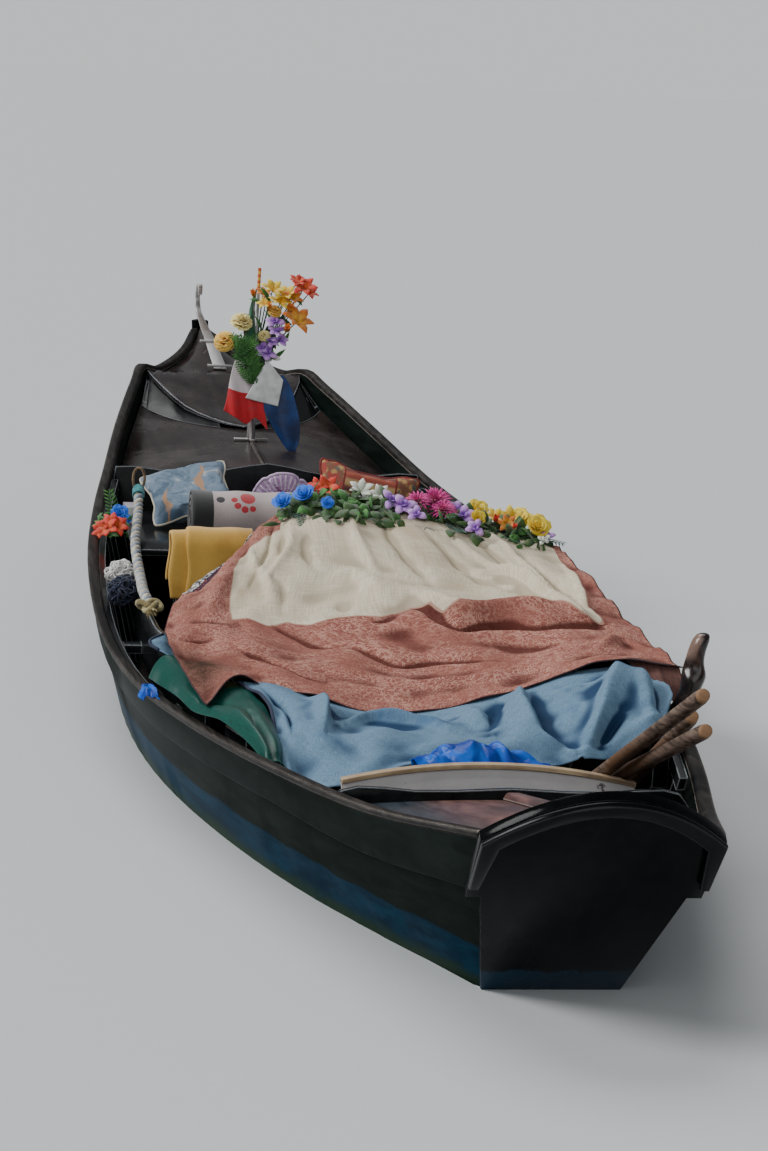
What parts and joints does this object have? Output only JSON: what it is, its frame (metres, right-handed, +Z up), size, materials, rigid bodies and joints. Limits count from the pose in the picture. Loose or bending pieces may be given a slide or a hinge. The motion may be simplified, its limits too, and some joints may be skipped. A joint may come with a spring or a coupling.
{
  "type": "flat-bottomed passenger rowing boat",
  "caption": "Flat-bottomed wooden rowing boat for passengers, with raked transom, stepped foredecks, bow iron, carved oarlock, draped seat, cushions, garland and bouquet.",
  "frame": {"origin": "centre of the bounding box's base, on the flat bottom's underside", "axes": "+Y towards the bow, +X to starboard, +Z up"},
  "size_m": [1.4288, 6.9624, 1.2358],
  "materials": {
    "hull_wood": "worn black paint",
    "bottom_wood": "matt blue paint",
    "worn_wood": "worn grey-brown",
    "dark_deck": "gloss varnish",
    "black_wood": "gloss black paint",
    "red_wood": "worn red-brown",
    "pale_wood": "bare",
    "grey_board": "matt light grey",
    "bare_wood": "weathered",
    "walnut": "oiled dark",
    "iron": "worn",
    "linen": "cream linen with rose damask border",
    "denim": "light blue denim",
    "green_satin": "satin",
    "blue_plastic": "thin crumpled film",
    "yellow_wool": "wool",
    "blue_canvas": "printed canvas",
    "rose_fleece": "fleece",
    "lilac_lace": "crocheted",
    "tapestry": "striped tapestry",
    "leaf_fabric": "artificial leaves and flowers",
    "petal_fabric": "artificial flowers",
    "flag_fabric": "striped pennant",
    "blue_flag": "blue pennant",
    "paper": "blank card",
    "rope_yarn": "twisted cord",
    "white_yarn": "wool",
    "navy_yarn": "wool"
  },
  "bodies": {
    "root": {"side_plank_port": "hull_wood", "side_plank_starboard": "hull_wood", "top_strake_port": "hull_wood", "top_strake_starboard": "hull_wood", "gunwale_rail_port": "worn_wood", "gunwale_rail_starboard": "worn_wood", "bottom_planking": "bottom_wood", "transom_board": "black_wood", "transom_rim": "black_wood", "stem_post": "black_wood", "upper_foredeck": "dark_deck", "lower_foredeck": "dark_deck", "foredeck_step_port": "black_wood", "foredeck_step_starboard": "black_wood", "foredeck_batten": "worn_wood", "bow_iron": "iron", "forward_coaming": "black_wood", "aft_coaming": "black_wood", "aft_deck": "red_wood", "aft_batten": "red_wood", "arched_board": "grey_board", "arched_board_cap": "pale_wood", "ribs_port": "black_wood", "ribs_starboard": "black_wood", "floorboards": "bare_wood", "side_board_port": "black_wood", "side_board_starboard": "black_wood", "passenger_seat": "black_wood", "seat_backrest": "black_wood", "forward_bench": "black_wood", "oarlock_block_port": "walnut", "oarlock_block_starboard": "walnut", "carved_oarlock": "walnut", "short_oar_1": "bare_wood", "short_oar_2": "bare_wood", "short_oar_3": "bare_wood", "flag_holder": "iron", "flag_staff": "pale_wood", "note_card": "paper", "pennant_blue": "blue_flag", "pennant_tricolour": "flag_fabric", "bouquet": "petal_fabric", "passenger_cover": "linen", "denim_cloth": "denim", "green_cloth": "green_satin", "blue_bag": "blue_plastic", "yellow_blanket": "yellow_wool", "cushion_blue": "blue_canvas", "cushion_lace": "lilac_lace", "cushion_striped": "tapestry", "rolled_blanket": "rose_fleece", "twisted_cord": "rope_yarn", "white_box": "paper", "pompom_white": "white_yarn", "pompom_navy": "navy_yarn", "port_flowers": "petal_fabric", "garland": "leaf_fabric"}
  },
  "joints": []
}
